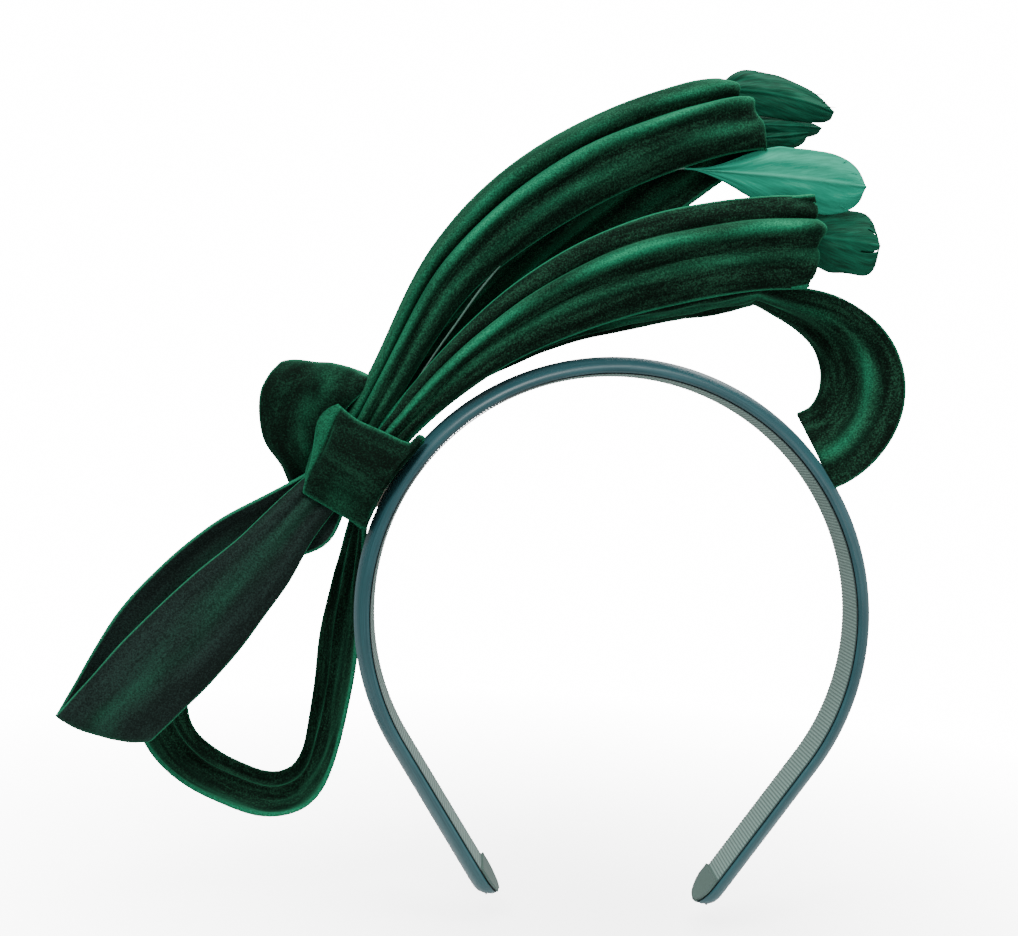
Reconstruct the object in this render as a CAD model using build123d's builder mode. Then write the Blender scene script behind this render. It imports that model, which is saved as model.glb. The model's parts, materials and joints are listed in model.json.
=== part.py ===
from build123d import *
import os
from math import atan, copysign, cos, degrees, pi, radians, sin

os.makedirs("parts", exist_ok=True)

# Frame: origin at the centre of the hoop's arc, halfway across the band's width.
# +Z runs to the crown, the knot is on the -X side, and the band's width lies along Y.

# Hoop
HEAD_RADIUS = 64.0          # inside of the lining
ARC_BELOW = 34.0            # degrees that the arc runs below the horizontal on each side
ARM_STRAIGHT = 48.0         # from the end of the arc to the tip
FLEX_ANGLE = 15.0           # degrees above the horizontal where the arms flex
LINING_WIDTH = 14.5
LINING_THICK = 0.6
CORE_WIDTH = 13.6
CORE_THICK = 2.8
CORE_EDGE = 2.1             # the core's rounded back stands this far above its edges
COVER_WIDTH = 16.0
COVER_WALL = 1.7
COVER_EDGE = 3.8            # the cover's rounded back stands this far above its edges
TAB_LENGTH = 9.0
TAB_THICK = 0.6
TIP_ROUND = 8.2
TIP_INSET = 1.0             # the core and the lining stop this far inside the cover's tip
KNUCKLE_RADIUS = 2.75       # round end of an arm at its flex point
SOCKET_RADIUS = 3.05        # hollow end of the crown round it

lining_out = HEAD_RADIUS + LINING_THICK
core_out = lining_out + CORE_THICK
band_out = core_out + COVER_WALL
band_mid = (HEAD_RADIUS + band_out) / 2
OVERRUN = 4.0               # degrees that an arm is drawn past its flex point before it is cut
ACROSS_ALL = 200.0          # longer than anything it cuts
FLEX_BLOCK = 20.0           # taller than the band is thick

# Bow
KNOT_ANGLE = 152.5          # degrees round the hoop from +X
KNOT_LENGTH = 22.0          # along the band
KNOT_IN = band_out + 0.3
KNOT_HEIGHT = 20.0
KNOT_DEPTH = 18.5
KNOT_CORNER = 5.0
WRAP_THICK = 1.4
GATHER_LENGTH = 1.6
GATHER_SPACE = 1.0          # between the gather and the inside of the wrap
GATHER_CORNER = 3.0
THREAD_THICK = 0.5
GLUE_ARC = 12.0             # degrees along the band
GLUE_WIDTH = 5.0
GLUE_GAP = 0.05             # left between the glue pad and the band, and up to the wrap
RIBBON_THICK = 0.9
ROOT_PHASE = 0.3            # where a loop's cloth starts out of the gather, in radians
STATIONS = 24
FOLD_ROUNDNESS = 0.7        # under 1, a loop's end is rounder than an ellipse's
FULL_WIDTH_AT = 0.75        # share of a loop's length where it reaches its full width
FAN_SPEED = 2.5             # how soon a loop's two layers slide apart
FEATHER_THICK = 0.5
QUILL_RADIUS = 0.4


def save(builder, label):
    """Label a finished piece and write it."""
    builder.part.label = label
    export_step(builder.part, f"parts/{label}.step")


def radial(angle):
    """The direction out from the hoop's centre."""
    return Vector(cos(radians(angle)), 0, sin(radians(angle)))


def hoop_plane(angle):
    """A section plane of the hoop: local X outwards, local Y across the band."""
    return Plane(origin=(0, 0, 0), x_dir=radial(angle), z_dir=radial(angle + 90))


# ---------------------------------------------------------------- hoop
# Each layer's section: local X is the distance from the hoop's centre, local Y runs across the band.
with BuildSketch() as lining_section:
    with Locations(((HEAD_RADIUS + lining_out) / 2, 0)):
        Rectangle(LINING_THICK, LINING_WIDTH)

core_edge = core_out - CORE_EDGE
core_half = CORE_WIDTH / 2
with BuildSketch() as core_section:
    with BuildLine():
        ThreePointArc((core_edge, -core_half), (core_out, 0), (core_edge, core_half))
        Polyline((core_edge, core_half), (lining_out, core_half),
                 (lining_out, -core_half), (core_edge, -core_half))
    make_face()

cover_edge = band_out - COVER_EDGE
cover_half = COVER_WIDTH / 2
with BuildSketch() as cover_section:
    with BuildLine():
        ThreePointArc((cover_edge, -cover_half), (band_out, 0), (cover_edge, cover_half))
        Polyline((cover_edge, cover_half), (lining_out, cover_half),
                 (lining_out, -cover_half), (cover_edge, -cover_half))
    make_face()
    add(core_section.sketch, mode=Mode.SUBTRACT)

with BuildSketch() as tab_section:
    with Locations((HEAD_RADIUS - TAB_THICK / 2, 0)):
        Rectangle(TAB_THICK, LINING_WIDTH)


def flex_pin(angle, radius):
    """A cylinder across the band at a flex point."""
    return Plane(origin=band_mid * radial(angle), z_dir=(0, 1, 0)) * Cylinder(radius, 4 * TIP_ROUND)


def tip_space(inset):
    """All that lies on the arm's side of its rounded tip."""
    middle = ARM_STRAIGHT - TIP_ROUND
    centre = band_mid * radial(-ARC_BELOW) - middle * radial(90 - ARC_BELOW)
    reach = ACROSS_ALL / 2
    with BuildPart() as space:
        with BuildSketch(Plane(origin=centre, x_dir=(0, 1, 0), z_dir=radial(-ARC_BELOW))):
            Circle(TIP_ROUND - inset)
            with Locations((0, reach)):
                Rectangle(2 * (TIP_ROUND - inset), ACROSS_ALL)
        extrude(amount=reach, both=True)
    return space.part


flex_sockets = [flex_pin(angle, SOCKET_RADIUS) for angle in (FLEX_ANGLE, 180 - FLEX_ANGLE)]
flex_block = hoop_plane(FLEX_ANGLE) * Pos(band_mid, 0, TIP_ROUND) * Box(FLEX_BLOCK, FLEX_BLOCK, 2 * TIP_ROUND)
above_knuckle = flex_block - flex_pin(FLEX_ANGLE, KNUCKLE_RADIUS)


def make_layer(name, section, inset):
    """One layer of the band: its crown and its two arms."""
    space = tip_space(inset)
    with BuildPart() as crown:
        with BuildSketch(hoop_plane(180 - FLEX_ANGLE)):
            add(section.sketch)
        revolve(axis=Axis.Y, revolution_arc=180 - 2 * FLEX_ANGLE)
        add(flex_sockets, mode=Mode.SUBTRACT)
    save(crown, f"crown_{name}")
    with BuildPart() as right_arm:
        with BuildSketch(hoop_plane(FLEX_ANGLE + OVERRUN)):
            add(section.sketch)
        revolve(axis=Axis.Y, revolution_arc=FLEX_ANGLE + OVERRUN + ARC_BELOW)
        with BuildSketch(hoop_plane(-ARC_BELOW)):
            add(section.sketch)
        extrude(amount=-ARM_STRAIGHT)
        add(above_knuckle, mode=Mode.SUBTRACT)
        add(space, mode=Mode.INTERSECT)
    save(right_arm, f"right_arm_{name}")
    with BuildPart() as left_arm:
        mirror(right_arm.part, about=Plane.YZ)
    save(left_arm, f"left_arm_{name}")


make_layer("core", core_section, TIP_INSET)
make_layer("satin_cover", cover_section, 0)
make_layer("grosgrain_lining", lining_section, TIP_INSET)

tab_space = tip_space(TIP_INSET / 2)
with BuildPart() as right_tip_tab:
    with BuildSketch(hoop_plane(-ARC_BELOW).offset(TAB_LENGTH - ARM_STRAIGHT)):
        add(tab_section.sketch)
    extrude(amount=-TAB_LENGTH)
    add(tab_space, mode=Mode.INTERSECT)
save(right_tip_tab, "right_tip_tab")

with BuildPart() as left_tip_tab:
    mirror(right_tip_tab.part, about=Plane.YZ)
save(left_tip_tab, "left_tip_tab")

# ---------------------------------------------------------------- knot
knot_middle = KNOT_IN + KNOT_HEIGHT / 2
inside_height = KNOT_HEIGHT - 2 * WRAP_THICK
inside_depth = KNOT_DEPTH - 2 * WRAP_THICK
gather_height = inside_height - 2 * GATHER_SPACE
gather_depth = inside_depth - 2 * GATHER_SPACE
knot_plane = hoop_plane(KNOT_ANGLE)

with BuildPart() as knot_wrap:
    with BuildSketch(knot_plane):
        with Locations((knot_middle, 0)):
            RectangleRounded(KNOT_HEIGHT, KNOT_DEPTH, KNOT_CORNER)
            RectangleRounded(inside_height, inside_depth, KNOT_CORNER - WRAP_THICK, mode=Mode.SUBTRACT)
    extrude(amount=KNOT_LENGTH / 2, both=True)
save(knot_wrap, "knot_wrap")

with BuildPart() as gather:
    with BuildSketch(knot_plane):
        with Locations((knot_middle, 0)):
            RectangleRounded(gather_height, gather_depth, GATHER_CORNER)
    extrude(amount=GATHER_LENGTH / 2, both=True)
save(gather, "ribbon_gather")

with BuildPart() as thread:
    with BuildSketch(knot_plane):
        with Locations((knot_middle, 0)):
            RectangleRounded(gather_height + 2 * THREAD_THICK, gather_depth + 2 * THREAD_THICK,
                             GATHER_CORNER + THREAD_THICK)
            RectangleRounded(gather_height, gather_depth, GATHER_CORNER, mode=Mode.SUBTRACT)
    extrude(amount=GATHER_LENGTH / 3, both=True)
save(thread, "binding_thread")

with BuildPart() as knot_glue:
    with BuildSketch(hoop_plane(KNOT_ANGLE + GLUE_ARC / 2)):
        with Locations(((band_out + KNOT_IN) / 2, 0)):
            Rectangle(KNOT_IN - band_out - 2 * GLUE_GAP, GLUE_WIDTH)
    revolve(axis=Axis.Y, revolution_arc=GLUE_ARC)
save(knot_glue, "knot_glue_pad")


# ---------------------------------------------------------------- ribbon loops
def ease(value):
    """A smooth step from 0 to 1."""
    value = min(1.0, max(0.0, value))
    return value * value * (3 - 2 * value)


def between(pair, share):
    """A value between the two of a pair, eased from the first to the second."""
    return pair[0] + (pair[1] - pair[0]) * ease(share)


def make_strip(centres, acrosses, widths, label):
    """A ribbon through the given middles, each with its direction across and its width."""
    last = len(centres) - 1
    middle = last // 2
    with BuildPart() as strip:
        for stretch in (range(middle + 1), range(middle, last + 1)):
            for i in stretch:
                across = acrosses[i]
                along = centres[min(i + 1, last)] - centres[max(i - 1, 0)]
                along = along - across * along.dot(across)
                with BuildSketch(Plane(origin=centres[i], x_dir=across, z_dir=along)):
                    Rectangle(widths[i], RIBBON_THICK)
            loft(ruled=True)
    save(strip, label)


def make_loop(label, root, length, heading, bow, gap, knot_width, full_width, depth,
              fan=0.0, skew=0.0, in_plane=False, tilt=0.0, pinch=0.3):
    """A ribbon loop that leaves the knot, folds over at its end and comes back.

    Its middle runs from the root along the heading and bows to the left of it. The gap is half the
    space between its two layers, and opens along Y, or in the hoop's own plane with in_plane.
    The fan slides the two layers apart sideways, and the skew turns the fold at the end. The pinch
    is the part of the gap that is left beside the knot.
    """
    forward = radial(heading)
    left = radial(heading + 90)
    centres, acrosses, widths = [], [], []
    for i in range(STATIONS + 1):
        phase = ROOT_PHASE + (2 * pi - 2 * ROOT_PHASE) * i / STATIONS
        t = (1 - cos(phase)) / 2
        rounded = copysign(abs(sin(phase)) ** FOLD_ROUNDNESS, sin(phase))
        opened = gap * rounded * (pinch + (1 - pinch) * t)
        side = 4 * bow * t * (1 - t) + fan * sin(phase) * ease(FAN_SPEED * t)
        y = between(depth, 5 * (t - 0.1))
        if in_plane:
            side += opened
            inward = Vector(0, 0, 0) - left * (1 if phase < pi else -1) * abs(sin(phase))
            inward = inward + forward * (0.5 * cos(phase))
            across = Vector(0, cos(radians(tilt)), 0) + inward * sin(radians(tilt))
        else:
            y -= opened
            slope = degrees(atan(4 * bow * (1 - 2 * t) / length))
            across = radial(heading + 90 + slope + skew * ease(t))
        centres.append(root + forward * (length * t) + left * side + Vector(0, y, 0))
        acrosses.append(across.normalized())
        widths.append(between((knot_width, full_width), t / FULL_WIDTH_AT))
    make_strip(centres, acrosses, widths, label)


make_loop("upper_loop", root=83.5 * radial(KNOT_ANGLE), length=142, heading=43.6, bow=12, gap=7,
          knot_width=6, full_width=22, depth=(-2.5, -1), fan=6, skew=12)
make_loop("lower_loop", root=76.3 * radial(KNOT_ANGLE), length=133, heading=30, bow=17, gap=5,
          knot_width=4.5, full_width=24, depth=(-3, -6.5), skew=-3)
make_loop("leaf_loop", root=79.4 * radial(KNOT_ANGLE), length=97, heading=230, bow=-4, gap=6,
          knot_width=6, full_width=25, depth=(-3.5, -5), fan=5, skew=18)
make_loop("hanging_loop", root=77.5 * radial(KNOT_ANGLE), length=97, heading=252.6, bow=-11.5, gap=32,
          knot_width=5, full_width=18, depth=(4, 15.3), in_plane=True, tilt=40, pinch=0.15)
make_loop("fold_over_loop", root=Vector(-86.5, 0, 31), length=37, heading=85, bow=3, gap=10,
          knot_width=5, full_width=24, depth=(-0.5, -0.5))

# ---------------------------------------------------------------- curl tail
# The tail runs from the knot close over the band, then curls down to it.
CURL_CENTRE = Vector(45.5, 0, 66)
CURL_RADIUS = 21.5          # where the curl begins
CURL_TIGHTENS = 2.5         # and how much smaller it then gets
CURL_FROM = 113.0           # degrees round the curl's own centre
CURL_SWEEP = 178.0
RUN_PULL = 60.0             # how long the run keeps the direction of the knot
RUN_LEAD = 20.0             # and that of the curl
RUN_FROM = 0.03             # share of the run where its cloth starts out of the gather
RUN_STATIONS = 11
CURL_STATIONS = 14
# Each pair is a value where a stretch of the tail begins and where it ends.
RUN_DEPTH = (3.0, 5.5)
RUN_TURN = (5.0, 50.0)      # degrees that the cloth leans out of the band's width
RUN_WIDTH = (6.0, 13.0)
CURL_DEPTH = (5.5, 0.0)
CURL_TURN = (50.0, 68.0)
CURL_WIDTH = (13.0, 24.0)

tail_root = 73.2 * radial(KNOT_ANGLE)
curl_start = CURL_CENTRE + CURL_RADIUS * radial(CURL_FROM)
run = Bezier(tail_root, tail_root + RUN_PULL * radial(KNOT_ANGLE - 90),
             curl_start - RUN_LEAD * radial(CURL_FROM - 90), curl_start)

tail_centres, tail_acrosses, tail_widths = [], [], []
for i in range(RUN_STATIONS):
    t = RUN_FROM + (1 - RUN_FROM) * i / RUN_STATIONS
    tangent = run % t
    upward = Vector(-tangent.Z, 0, tangent.X)
    turn = radians(between(RUN_TURN, t))
    tail_centres.append((run @ t) + Vector(0, between(RUN_DEPTH, 3 * t), 0))
    tail_acrosses.append(Vector(0, -cos(turn), 0) + sin(turn) * upward)
    tail_widths.append(between(RUN_WIDTH, t))
for i in range(CURL_STATIONS + 1):
    t = i / CURL_STATIONS
    out = radial(CURL_FROM - CURL_SWEEP * t)
    turn = radians(between(CURL_TURN, t))
    radius = CURL_RADIUS - CURL_TIGHTENS * ease(2 * t)
    tail_centres.append(CURL_CENTRE + radius * out + Vector(0, between(CURL_DEPTH, t), 0))
    tail_acrosses.append(Vector(0, -cos(turn), 0) + sin(turn) * out)
    tail_widths.append(between(CURL_WIDTH, 1.6 * t))
make_strip(tail_centres, tail_acrosses, tail_widths, "curl_tail")


# ---------------------------------------------------------------- feathers
def make_feather(label, base, length, heading, width, y):
    """A flat leaf-shaped vane with its quill on the front."""
    plane = Plane(origin=base + Vector(0, y, 0), x_dir=radial(heading), z_dir=(0, -1, 0))
    with BuildPart() as vane:
        with BuildSketch(plane):
            with BuildLine():
                ThreePointArc((0, 0), (length / 2, width / 2), (length, 0))
                ThreePointArc((length, 0), (length / 2, -width / 2), (0, 0))
            make_face()
        extrude(amount=FEATHER_THICK / 2, both=True)
    save(vane, f"{label}_vane")
    start = plane.origin - (FEATHER_THICK / 2 + QUILL_RADIUS) * Vector(0, 1, 0)
    with BuildPart() as quill:
        with BuildSketch(Plane(origin=start, z_dir=radial(heading))):
            Circle(QUILL_RADIUS)
        extrude(amount=0.96 * length)
    save(quill, f"{label}_quill")


make_feather("large_feather", Vector(13, 0, 121), 50, -3, 17, -10.5)
make_feather("upper_dark_feather", Vector(16, 0, 139), 34, 1, 7, 8)
make_feather("lower_dark_feather", Vector(17, 0, 133), 32, 6, 6, 9.8)
make_feather("small_feather", Vector(22, 0, 130), 24, 4, 6, 11.6)
make_feather("lower_loop_feather", Vector(32, 0, 104), 33, 3, 17, 1)
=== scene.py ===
"""Knotted headband: satin band, velvet ribbon bow and feathers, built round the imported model."""

import json
import logging
import math
from dataclasses import dataclass, field
from enum import Enum
from typing import Sequence

import bmesh
import bpy
from mathutils import Matrix, Vector, noise


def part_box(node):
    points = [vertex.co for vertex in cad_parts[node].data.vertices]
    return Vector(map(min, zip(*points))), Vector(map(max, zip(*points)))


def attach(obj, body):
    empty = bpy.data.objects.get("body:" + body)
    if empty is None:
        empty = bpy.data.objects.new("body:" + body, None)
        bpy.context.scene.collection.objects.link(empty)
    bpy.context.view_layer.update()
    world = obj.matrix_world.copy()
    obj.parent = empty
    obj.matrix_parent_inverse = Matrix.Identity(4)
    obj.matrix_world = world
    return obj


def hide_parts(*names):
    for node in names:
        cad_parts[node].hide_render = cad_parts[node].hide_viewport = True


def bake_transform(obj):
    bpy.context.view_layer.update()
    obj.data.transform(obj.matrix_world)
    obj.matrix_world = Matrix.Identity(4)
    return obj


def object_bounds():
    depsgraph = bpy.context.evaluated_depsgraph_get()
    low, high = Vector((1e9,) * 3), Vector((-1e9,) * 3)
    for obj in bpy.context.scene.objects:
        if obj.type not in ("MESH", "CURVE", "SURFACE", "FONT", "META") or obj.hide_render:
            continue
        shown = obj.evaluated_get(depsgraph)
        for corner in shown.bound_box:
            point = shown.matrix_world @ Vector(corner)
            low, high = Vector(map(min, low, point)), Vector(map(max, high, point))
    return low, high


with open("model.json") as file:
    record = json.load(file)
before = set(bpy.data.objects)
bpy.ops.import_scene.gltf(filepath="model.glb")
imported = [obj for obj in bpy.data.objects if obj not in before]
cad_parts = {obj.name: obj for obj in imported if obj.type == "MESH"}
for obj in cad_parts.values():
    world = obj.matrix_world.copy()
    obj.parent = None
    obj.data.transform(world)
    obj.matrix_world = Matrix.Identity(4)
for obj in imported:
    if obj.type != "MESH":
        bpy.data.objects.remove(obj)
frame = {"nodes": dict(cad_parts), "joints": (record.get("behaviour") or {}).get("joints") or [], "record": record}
CAD_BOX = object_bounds()

log = logging.getLogger("headband")

ACROSS = Vector((0, 1, 0))
HEAD_RADIUS = frame["record"]["mounts"][0]["dims"]["r_mm"] / 1000
BAND_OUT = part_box("crown_satin_cover")[1][2]
COVER_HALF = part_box("crown_satin_cover")[1][1]
LINING_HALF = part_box("crown_grosgrain_lining")[1][1]
KNOT_ANGLE = math.radians(152.5)


class Side(Enum):
    """The two halves of the band."""

    LEFT = -1
    RIGHT = 1


class Fold(Enum):
    """How a lengthwise fold of a ribbon is shaped."""

    RIDGE = "round"
    GROOVE = "sharp"


def radial(angle: float) -> Vector:
    """The direction out from the hoop's centre at an angle in radians."""
    return Vector((math.cos(angle), 0, math.sin(angle)))


def ease(value: float) -> float:
    """A smooth step from 0 to 1."""
    value = min(1.0, max(0.0, value))
    return value * value * (3 - 2 * value)


def between(pair: Sequence[float], share: float) -> float:
    """Ease from one value to another.

    Args:
        pair: The first and the second value.
        share: How far to go, held between 0 and 1.

    Returns:
        The value between them.
    """
    return pair[0] + (pair[1] - pair[0]) * ease(share)


def bump_at(value: float, centre: float, spread: float) -> float:
    """Shape a rounded ridge of height 1.

    Args:
        value: The place that is asked for.
        centre: The ridge's middle.
        spread: How broad it is.

    Returns:
        The ridge's height there.
    """
    return math.exp(-(((value - centre) / spread) ** 2))


def to_object(mesh: bmesh.types.BMesh, name: str, material: bpy.types.Material) -> bpy.types.Object:
    """Turn a finished bmesh into a smooth object.

    Args:
        mesh: The modelled mesh, which is freed.
        name: The piece's name.
        material: Its finish.

    Returns:
        The new object, at the origin.
    """
    data = bpy.data.meshes.new(name)
    mesh.to_mesh(data)
    mesh.free()
    data.materials.append(material)
    data.shade_smooth()
    piece = bpy.data.objects.new(name, data)
    bpy.context.scene.collection.objects.link(piece)
    return piece


def thicken(piece: bpy.types.Object, thickness: float, offset: float = 0.0) -> None:
    """Give a sheet its thickness.

    Args:
        piece: The sheet.
        thickness: How thick its cloth is.
        offset: Which side it grows to, from -1 to 1, or 0 for both.
    """
    shell = piece.modifiers.new("thickness", "SOLIDIFY")
    shell.thickness = thickness
    shell.offset = offset


# ---------------------------------------------------------------- finishes
class Nodes:
    """A small helper that adds and links shader nodes of one material."""

    def __init__(self, name: str) -> None:
        """Start a material with only its shader and output.

        Args:
            name: The material's name.
        """
        self.material = bpy.data.materials.new(name)
        self.material.use_nodes = True
        self.tree = self.material.node_tree
        self.shader = self.tree.nodes["Principled BSDF"]

    def add(self, kind: str, **values: object) -> bpy.types.Node:
        """Add a node.

        Args:
            kind: The node's type without its ShaderNode prefix.
            values: Its properties, or its inputs by name with underscores for spaces.

        Returns:
            The new node.
        """
        node = self.tree.nodes.new(f"ShaderNode{kind}")
        for key, value in values.items():
            label = key.replace("_", " ")
            if label in node.inputs:
                node.inputs[label].default_value = value
            else:
                setattr(node, key, value)
        return node

    def link(self, source: bpy.types.NodeSocket, target: bpy.types.NodeSocket) -> None:
        """Join two sockets.

        Args:
            source: The output that is read.
            target: The input that it feeds.
        """
        self.tree.links.new(source, target)

    def noise(self, place: bpy.types.NodeSocket, scale: float,
              stretch: tuple = (1.0, 1.0, 1.0), detail: float = 3.0) -> bpy.types.NodeSocket:
        """A noise over the surface.

        Args:
            place: The coordinates that it reads.
            scale: Its size, in patches to the metre.
            stretch: How much finer it is along each coordinate.
            detail: Its octaves.

        Returns:
            The value's socket.
        """
        mapping = self.add("Mapping")
        mapping.inputs["Scale"].default_value = stretch
        self.link(place, mapping.inputs["Vector"])
        texture = self.add("TexNoise", Scale=scale, Detail=detail, Roughness=0.65)
        self.link(mapping.outputs["Vector"], texture.inputs["Vector"])
        return texture.outputs["Fac"]

    def maths(self, operation: str, first: bpy.types.NodeSocket,
              second: bpy.types.NodeSocket | float) -> bpy.types.NodeSocket:
        """Work out one value from two.

        Args:
            operation: The Math node's operation.
            first: The first value's socket.
            second: The second value, a socket or a number.

        Returns:
            The result's socket.
        """
        node = self.add("Math", operation=operation)
        self.link(first, node.inputs[0])
        if isinstance(second, float):
            node.inputs[1].default_value = second
        else:
            self.link(second, node.inputs[1])
        return node.outputs[0]

    def ramp(self, source: bpy.types.NodeSocket, stops: Sequence[tuple]) -> bpy.types.NodeSocket:
        """Colour a value by a ramp.

        Args:
            source: The value.
            stops: Pairs of place and RGB colour.

        Returns:
            The colour socket.
        """
        node = self.add("ValToRGB")
        ramp = node.color_ramp
        while len(ramp.elements) < len(stops):
            ramp.elements.new(0.5)
        for element, (place, colour) in zip(ramp.elements, stops):
            element.position = place
            element.color = (*colour, 1)
        self.link(source, node.inputs["Fac"])
        return node.outputs["Color"]

    def mix(self, factor: bpy.types.NodeSocket, first: bpy.types.NodeSocket,
            second: bpy.types.NodeSocket | tuple, blend: str = "MIX") -> bpy.types.NodeSocket:
        """Mix a colour with another by a factor.

        Args:
            factor: The share of the second.
            first: The first colour.
            second: The second colour, a socket or RGB.
            blend: The way of mixing.

        Returns:
            The result's socket.
        """
        node = self.add("Mix", data_type="RGBA", blend_type=blend)
        self.link(factor, node.inputs[0])
        self.link(first, node.inputs[6])
        if isinstance(second, tuple):
            node.inputs[7].default_value = (*second, 1)
        else:
            self.link(second, node.inputs[7])
        return node.outputs[2]

    def colour(self, source: bpy.types.NodeSocket) -> None:
        """Give the shader its colour."""
        self.link(source, self.shader.inputs["Base Color"])

    def relief(self, height: bpy.types.NodeSocket, strength: float, distance: float) -> None:
        """Give the shader a bump.

        Args:
            height: The height's socket.
            strength: How much of the bump shows, from 0 to 1.
            distance: How deep it is, in metres.
        """
        node = self.add("Bump", Strength=strength, Distance=distance)
        self.link(height, node.inputs["Height"])
        self.link(node.outputs["Normal"], self.shader.inputs["Normal"])

    def surface(self, **values: float | tuple) -> None:
        """Set plain values on the shader's own sockets.

        Args:
            values: The values, by socket name with underscores for spaces.
        """
        for key, value in values.items():
            self.shader.inputs[key.replace("_", " ")].default_value = value


@dataclass(frozen=True)
class Velvet:
    """Crushed velvet: dark where the pile faces out, with a painted highlight on crests and edges and a painted
    sheen where it turns away.
    """

    name: str = "green_velvet"
    deep: tuple = (0.0016, 0.0048, 0.0028)
    body: tuple = (0.0050, 0.0185, 0.0102)
    brushed_and_highlit: tuple = (0.0125, 0.0560, 0.0300)
    painted_sheen: tuple = (0.0180, 0.2050, 0.1020)
    grain_scale: float = 2200.0
    streaks: tuple = (60.0, 520.0, 1.0)
    streak_share: float = 0.42

    def make(self) -> bpy.types.Material:
        """Build the velvet.

        Returns:
            Its material.
        """
        nodes = Nodes(self.name)
        grain = nodes.noise(nodes.add("TexCoord").outputs["Object"], self.grain_scale)
        streak = nodes.noise(nodes.add("UVMap", uv_map="cloth").outputs["UV"], 1.0, self.streaks, 4.0)
        blotch = nodes.maths("ADD", nodes.maths("MULTIPLY", grain, 1 - self.streak_share),
                             nodes.maths("MULTIPLY", streak, self.streak_share))
        base = nodes.ramp(blotch, ((0.44, self.deep), (0.52, self.body), (0.61, self.brushed_and_highlit)))
        # Painted highlight and painted sheen: the vertex attribute brightens crests and edges, and the facing mix
        # brightens where the surface turns away, both towards one bright green.
        highlight_and_shaft = nodes.add("Attribute", attribute_name="highlight_and_shaft").outputs["Fac"]
        speckle = nodes.maths("MULTIPLY", nodes.maths("POWER", grain, 1.6), 2.6)
        lit = nodes.maths("MULTIPLY", highlight_and_shaft, speckle)
        edge = nodes.maths("POWER", nodes.add("LayerWeight", Blend=0.5).outputs["Facing"], 3.6)
        brushed_and_highlit = nodes.mix(lit, base, self.painted_sheen)
        nodes.colour(nodes.mix(edge, brushed_and_highlit, self.painted_sheen))
        nodes.relief(grain, 0.6, 0.0004)
        nodes.surface(Roughness=0.95, Specular_IOR_Level=0.06, Sheen_Weight=0.16, Sheen_Roughness=0.35,
                      Sheen_Tint=(0.08, 0.62, 0.34, 1))
        return nodes.material


@dataclass(frozen=True)
class Satin:
    """Teal satin with fine threads along the band."""

    name: str = "teal_satin"
    shade: tuple = (0.0095, 0.046, 0.055)
    bright: tuple = (0.022, 0.086, 0.099)
    threads: tuple = (60.0, 2600.0, 1.0)

    def make(self) -> bpy.types.Material:
        """Build the satin.

        Returns:
            Its material.
        """
        nodes = Nodes(self.name)
        path = nodes.add("UVMap", uv_map="cloth").outputs["UV"]
        thread = nodes.noise(path, 1.0, self.threads)
        nodes.colour(nodes.ramp(thread, ((0.3, self.shade), (0.75, self.bright))))
        nodes.relief(thread, 0.25, 0.0001)
        nodes.surface(Roughness=0.40, Specular_IOR_Level=0.40, Anisotropic=0.4, Sheen_Weight=0.08,
                      Sheen_Tint=(0.4, 0.85, 0.95, 1))
        return nodes.material


@dataclass(frozen=True)
class Grosgrain:
    """Ribbed ribbon, with painted shade in the grooves between the ribs and a painted shade line along its edges.
    """

    name: str = "grosgrain"
    groove: tuple = (0.050, 0.100, 0.086)
    rib: tuple = (0.160, 0.255, 0.222)
    painted_edge_shading: tuple = (0.008, 0.036, 0.034)
    pitch: float = 0.0009
    half_width: float = LINING_HALF

    def make(self) -> bpy.types.Material:
        """Build the ribbed ribbon.

        Returns:
            Its material.
        """
        nodes = Nodes(self.name)
        path = nodes.add("UVMap", uv_map="cloth").outputs["UV"]
        ribs = nodes.add("TexWave", wave_type="BANDS", bands_direction="X")
        ribs.inputs["Scale"].default_value = 2 * math.pi / (20 * self.pitch)
        nodes.link(path, ribs.inputs["Vector"])
        # The darker groove colour is painted shade between the ribs.
        ribbed = nodes.ramp(ribs.outputs["Fac"], ((0.1, self.groove), (0.7, self.rib)))
        worn = nodes.noise(path, 1500.0)
        ribbed = nodes.mix(nodes.maths("MULTIPLY", worn, 0.5), ribbed, self.groove)
        split = nodes.add("SeparateXYZ")
        nodes.link(path, split.inputs[0])
        outwards = nodes.add("Math", operation="ABSOLUTE")
        nodes.link(split.outputs["Y"], outwards.inputs[0])
        # Painted shade: a dark line along both edges, where the lining meets the satin cover.
        rim = nodes.maths("GREATER_THAN", outwards.outputs[0], 0.90 * self.half_width)
        nodes.colour(nodes.mix(rim, ribbed, self.painted_edge_shading))
        nodes.relief(ribs.outputs["Fac"], 0.6, 0.0002)
        nodes.surface(Roughness=0.8, Specular_IOR_Level=0.2, Sheen_Weight=0.12)
        return nodes.material


@dataclass(frozen=True)
class Feather:
    """A dyed feather's vane, streaked along its barbs, with a paler shaft."""

    name: str
    dark: tuple
    light: tuple
    shaft: tuple
    barbs: tuple = (140.0, 1500.0, 1.0)

    def make(self) -> bpy.types.Material:
        """Build the vane's finish.

        Returns:
            Its material.
        """
        nodes = Nodes(self.name)
        barbs = nodes.noise(nodes.add("UVMap", uv_map="cloth").outputs["UV"], 1.0, self.barbs, 4.0)
        streaked = nodes.ramp(barbs, ((0.32, self.dark), (0.68, self.light)))
        highlight_and_shaft = nodes.add("Attribute", attribute_name="highlight_and_shaft").outputs["Fac"]
        nodes.colour(nodes.mix(highlight_and_shaft, streaked, self.shaft))
        nodes.relief(barbs, 0.35, 0.0002)
        nodes.surface(Roughness=0.65, Specular_IOR_Level=0.10, Sheen_Weight=0.0)
        return nodes.material


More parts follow.
